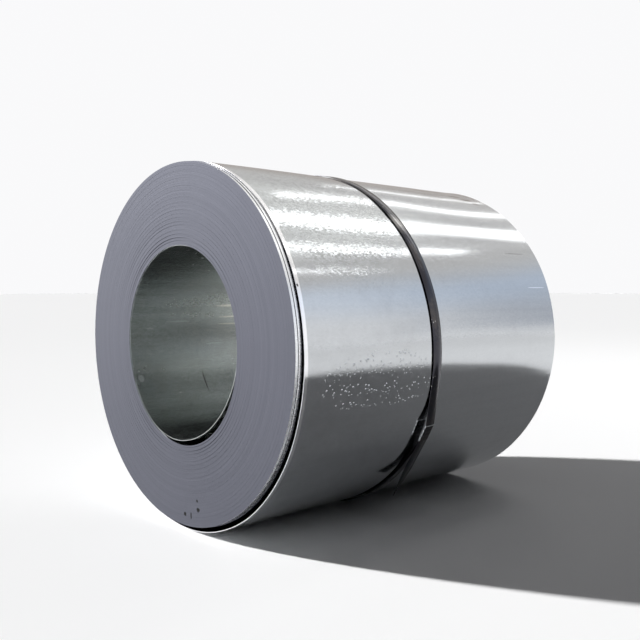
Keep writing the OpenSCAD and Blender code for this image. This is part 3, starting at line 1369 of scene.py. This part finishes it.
@dataclass
class Studio:
    """Floor, lamps, world and camera."""

    floor_half: float = 60.0
    floor_z: float = -0.0004
    ceiling: float = 3.6
    strip_glow: float = 1.7
    strips: tuple[CeilingStrip, ...] = (
        CeilingStrip(-2.38, 0.22, 3.2, 5.6),
        CeilingStrip(-0.93, 0.35, 2.0, 5.6),
        CeilingStrip(0.42, 0.60, 1.7, 5.6),
        CeilingStrip(1.69, 0.34, 1.9, 4.3),
        CeilingStrip(3.05, 0.18, 2.3, 3.9),
    )
    sun_from: tuple[float, float, float] = (-0.853, -0.62, 0.470)
    sun_strength: float = 6.7
    sun_angle: float = 2.5
    floor_colour: Colour = (0.93, 0.93, 0.93, 1.0)
    surround: Colour = (0.95, 0.95, 0.96, 1.0)
    dim_surround: Colour = (0.54, 0.57, 0.63, 1.0)
    cool_surround: Colour = (0.70, 0.82, 1.0, 1.0)
    far_wall: Colour = (0.50, 0.465, 0.44, 1.0)
    upper_wall: Colour = (0.70, 0.685, 0.67, 1.0)
    overhead: Colour = (0.92, 0.91, 0.88, 1.0)
    fill: Colour = (0.006, 0.006, 0.006, 1.0)
    soft_overhead: Colour = (0.14, 0.14, 0.146, 1.0)
    dim_side: float = math.radians(76.0)
    far_side: float = math.radians(128.0)
    camera_at: tuple[float, float, float] = (1.7170, -1.5769, 0.6378)
    camera_back: tuple[float, float, float] = (0.738641, -0.672658, 0.044047)
    camera_lens: float = 43.41

    def floor(self) -> None:
        """Lays a wide pale floor."""
        material = bpy.data.materials.new("studio_floor")
        material.use_nodes = True
        shader = next(n for n in material.node_tree.nodes if n.type == "BSDF_PRINCIPLED")
        shader.inputs["Base Color"].default_value = self.floor_colour
        shader.inputs["Roughness"].default_value = 0.9
        shader.inputs["Specular IOR Level"].default_value = 0.0
        side = np.linspace(-self.floor_half, self.floor_half, 3)
        x, y = np.meshgrid(side, side, indexing="ij")
        points = np.stack([x, y, np.full_like(x, self.floor_z)], -1).reshape(-1, 3)
        obj = Surface(points, grid_quads(3, 3, False, False)).to_object("studio_floor", [material])

    def lamps(self) -> None:
        """Hangs the ceiling strips, whose power is pi times area times glow, and one soft key lamp."""
        for number, strip in enumerate(self.strips):
            lamp = bpy.data.lights.new(f"ceiling_strip_{number}", "AREA")
            lamp.shape = "RECTANGLE"
            lamp.size, lamp.size_y = strip.width, strip.far - strip.near
            lamp.energy = math.pi * lamp.size * lamp.size_y * self.strip_glow
            obj = bpy.data.objects.new(lamp.name, lamp)
            obj.location = (strip.x, (strip.near + strip.far) / 2, self.ceiling)
            bpy.context.scene.collection.objects.link(obj)
        key = bpy.data.lights.new("key", "SUN")
        key.energy = self.sun_strength
        key.angle = math.radians(self.sun_angle)
        obj = bpy.data.objects.new("key", key)
        obj.rotation_euler = Vector(self.sun_from).to_track_quat("Z", "Y").to_euler()
        bpy.context.scene.collection.objects.link(obj)

    @staticmethod
    def wall(
        t: Tree,
        towards: bpy.types.NodeSocket,
        angle: float,
        near: tuple[float, float],
        rise: tuple[float, float],
    ) -> bpy.types.NodeSocket:
        """Mask of one wall: directions close to a compass angle, by the cosine between them, above the floor.

        Args:
            t: The world's tree.
            towards: The direction looked in.
            angle: The wall's middle, in radians from +X towards +Y.
            near: Cosines at which the wall fades in.
            rise: Heights at which it fades in.

        Returns:
            The mask's socket.
        """
        height = t.node("ShaderNodeSeparateXYZ", {0: towards}).outputs[2]
        level = t.vector("NORMALIZE", t.vector("MULTIPLY", towards, (1.0, 1.0, 0.0)))
        middle = (math.cos(angle), math.sin(angle), 0.0)
        cosine = t.vector("DOT_PRODUCT", level, middle, out="Value")
        return t.math("MULTIPLY", t.span(cosine, *near), t.span(height, *rise))

    def world(self) -> None:
        """A plain pale surround for the camera, a room that metal mirrors, and a dim overhead for soft light.

        The room has a dim wall and a far wall, turns cool and then grey with height, and is pale overhead.
        """
        world = bpy.data.worlds.new("studio")
        world.use_nodes = True
        bpy.context.scene.world = world
        t = Tree(world.node_tree)
        back = next(n for n in world.node_tree.nodes if n.type == "BACKGROUND")
        towards = t.node("ShaderNodeTexCoord").outputs["Generated"]
        height = t.node("ShaderNodeSeparateXYZ", {0: towards}).outputs[2]
        dim = self.wall(t, towards, self.dim_side, (0.86, 0.98), (0.0, 0.10))
        low = t.mix(dim, self.surround, self.dim_surround)
        cool = t.mix(t.span(height, 0.14, 0.36), low, t.mix(0.5, low, self.cool_surround))
        far = self.wall(t, towards, self.far_side, (0.84, 0.96), (0.06, 0.18))
        walls = t.mix(far, cool, self.far_wall)
        middle = t.mix(t.span(height, 0.36, 0.52), walls, self.upper_wall)
        seen = t.mix(t.span(height, 0.58, 0.70), middle, self.overhead)
        path = t.node("ShaderNodeLightPath")
        looked = t.math("ADD", path.outputs["Is Camera Ray"], path.outputs["Is Glossy Ray"])
        looked = t.math("ADD", looked, path.outputs["Is Transmission Ray"], clamp=True)
        looked = t.math("MULTIPLY", looked, t.math("LESS_THAN", path.outputs["Diffuse Depth"], 0.5))
        seen = t.mix(path.outputs["Is Camera Ray"], seen, self.surround)
        soft = t.mix(t.span(height, 0.40, 0.85), self.fill, self.soft_overhead)
        t.feed(back.inputs["Color"], t.mix(looked, soft, seen))

    def camera(self) -> None:
        """Sets the camera that was fitted to the photograph's outlines."""
        data = bpy.data.cameras.new("camera")
        data.sensor_width = 36.0
        data.lens = self.camera_lens
        data.clip_end = 200.0
        obj = bpy.data.objects.new("camera", data)
        obj.location = self.camera_at
        obj.rotation_euler = Vector(self.camera_back).to_track_quat("Z", "Y").to_euler()
        bpy.context.scene.collection.objects.link(obj)
        bpy.context.scene.camera = obj

    def build(self) -> None:
        """Builds the whole studio."""
        bpy.context.scene.view_settings.view_transform = "Standard"
        self.floor()
        self.lamps()
        self.world()
        self.camera()


def zinc_finishes(plan: CoilPlan, effects: Effects) -> tuple[bpy.types.Material, ...]:
    """Finishes of the strip: its outer face, its wound edges, the inside of the eye and the rim steps.

    Args:
        plan: Sizes of the coil.
        effects: The shared groups.

    Returns:
        The four materials.
    """
    bright, faint, dull = (0.98, 0.98, 1.0, 1.0), (0.40, 0.40, 0.41, 1.0), (0.16, 0.155, 0.15, 1.0)
    pale_streak, scrape, warm = (0.80, 0.82, 0.82, 1.0), (0.30, 0.295, 0.29, 1.0), (0.92, 0.88, 0.80, 1.0)
    scratch = (0.06, 0.06, 0.055, 1.0)
    plain = {"crystal_tilt": 0.0, "flake_tilt": 0.0, "flake_share": 0.0, "drop_rise": 0.0}
    wrap_edge = (0.0, plan.near_y + plan.wrap_setback, plan.wrap_z)
    rim_line = (0.0, plan.near_y + plan.rim_step - 0.0004, plan.axis_z)
    sheet = ZincSheet(
        marks=(
            (Patch((0.452, 0.445, 0.633), (0.02, 0.048, 0.0014), 0.2), bright),
            (Patch((0.404, 0.400, 0.733), (0.02, 0.050, 0.0012), 0.3), faint),
            # A near-white band along the loose wrap's near edge: painted highlight.
            (Patch(wrap_edge, (1.0, 0.012, 1.0), 0.05), bright),
            (Patch((0.4515, -0.4885, 0.6400), (0.01, 0.003, 0.004), 0.6), dull),
            (Patch((0.142, 0.315, 0.936), (0.006, 0.075, 0.03), 1.0), scrape),
            (Patch((0.178, 0.400, 0.923), (0.009, 0.030, 0.03), 1.0), scrape),
            (Patch((0.203, 0.428, 0.913), (0.008, 0.024, 0.03), 1.0), scrape),
            (Patch((0.230, 0.444, 0.899), (0.006, 0.018, 0.03), 1.0), scrape),
        )
    ).make(effects)
    edge = WoundEdge(axis=(0.0, 0.0, plan.axis_z), gauge=plan.gauge).make(effects)
    bore = ZincSheet(
        name="galvanised_bore",
        dark=(0.53, 0.56, 0.56, 1.0),
        light=(0.64, 0.665, 0.66, 1.0),
        stain=(0.40, 0.39, 0.34, 1.0),
        roughness=(0.17, 0.26),
        stain_amount=0.3,
        marks=(
            # A near-white spot just inside the eye's mouth: painted glint.
            (Patch((-0.2293, -0.4871, 0.3764), (0.012, 0.010, 0.012), 0.9), bright),
            (Patch((-0.2160, -0.2806, 0.3550), (0.032, 0.0022, 0.045), 0.5), scratch),
            # Thin pale streaks along the eye, lighter than the zinc round them.
            (Patch((-0.2505, -0.3520, 0.5330), (0.02, 0.045, 0.0022), 0.9), pale_streak),
            (Patch((-0.2529, -0.4430, 0.5154), (0.02, 0.012, 0.0030), 0.9), pale_streak),
            (Patch((-0.2533, -0.2230, 0.4626), (0.02, 0.034, 0.0018), 0.7), pale_streak),
            # Warm pale streaks on the eye's wall: painted highlights of the sun's reflection.
            (Patch((-0.2378, -0.1700, 0.5776), (0.03, 0.060, 0.0035), 0.5), warm),
            (Patch((-0.2482, -0.1600, 0.5429), (0.02, 0.055, 0.0022), 0.4), warm),
            (Patch((-0.2522, -0.1650, 0.5212), (0.02, 0.050, 0.0020), 0.4), warm),
        ),
        **plain,
    ).make(effects)
    # The rim steps are a near-white copy of the zinc sheet: painted highlight.
    rim = ZincSheet(
        name="bright_rim",
        dark=(0.90, 0.92, 0.95, 1.0),
        light=(0.96, 0.97, 0.99, 1.0),
        stain=(0.72, 0.74, 0.78, 1.0),
        roughness=(0.27, 0.28),
        stain_amount=0.0,
        # A grey line at the foot of the first rim step: painted shade in the seam.
        marks=((Patch(rim_line, (1.0, 0.0012, 1.0), 0.1), faint),),
        **plain,
    ).make(effects)
    return sheet, edge, bore, rim


def steel_finishes(effects: Effects) -> tuple[bpy.types.Material, bpy.types.Material]:
    """Finishes of the strap, with paler metal painted as a highlight that is stronger towards its middle, and
    of the seal.

    Args:
        effects: The shared groups.

    Returns:
        The two materials.
    """
    # Rings of painted highlight, stronger towards the middle, where a ceiling strip's reflection crosses the
    # strap.
    middle, across, painted_sheen = (0.353, -0.060, 0.804), 0.060, 0.16
    rings = (0.014, 0.022, 0.030, 0.040)
    strap = BlackenedSteel(sheen_patches=tuple((Patch(middle, (r, across, r), 0.9), painted_sheen) for r in rings))
    seal = BlackenedSteel(
        name="seal_steel",
        dark=(0.035, 0.035, 0.04, 1.0),
        brown=(0.07, 0.065, 0.062, 1.0),
        bare_and_sheen=(0.75, 0.76, 0.78, 1.0),
        roughness=(0.24, 0.36),
        nick_share=0.03,
        worn_and_highlit=True,
    )
    return strap.make(effects), seal.make(effects)


def main() -> None:
    """Loads the part and builds each piece in order."""
    logging.basicConfig(level=logging.INFO, format="%(name)s: %(message)s")
    for old in list(bpy.data.objects):
        bpy.data.objects.remove(old)
    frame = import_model()
    effects = Effects.make()
    plan = CoilPlan.from_frame(frame)
    route = StrapPlan(plan)
    sheet, edge, bore, rim = zinc_finishes(plan, effects)
    strap_steel, seal_steel = steel_finishes(effects)
    WoundBody(plan).build(frame["nodes"]["coil"], [edge, sheet, rim])
    EyeLining(plan).build(bore)
    LooseWrap(plan).build(sheet)
    Strap(route).build(strap_steel)
    Seal(route).build(seal_steel)
    Studio().build()


if __name__ == "__main__":
    main()
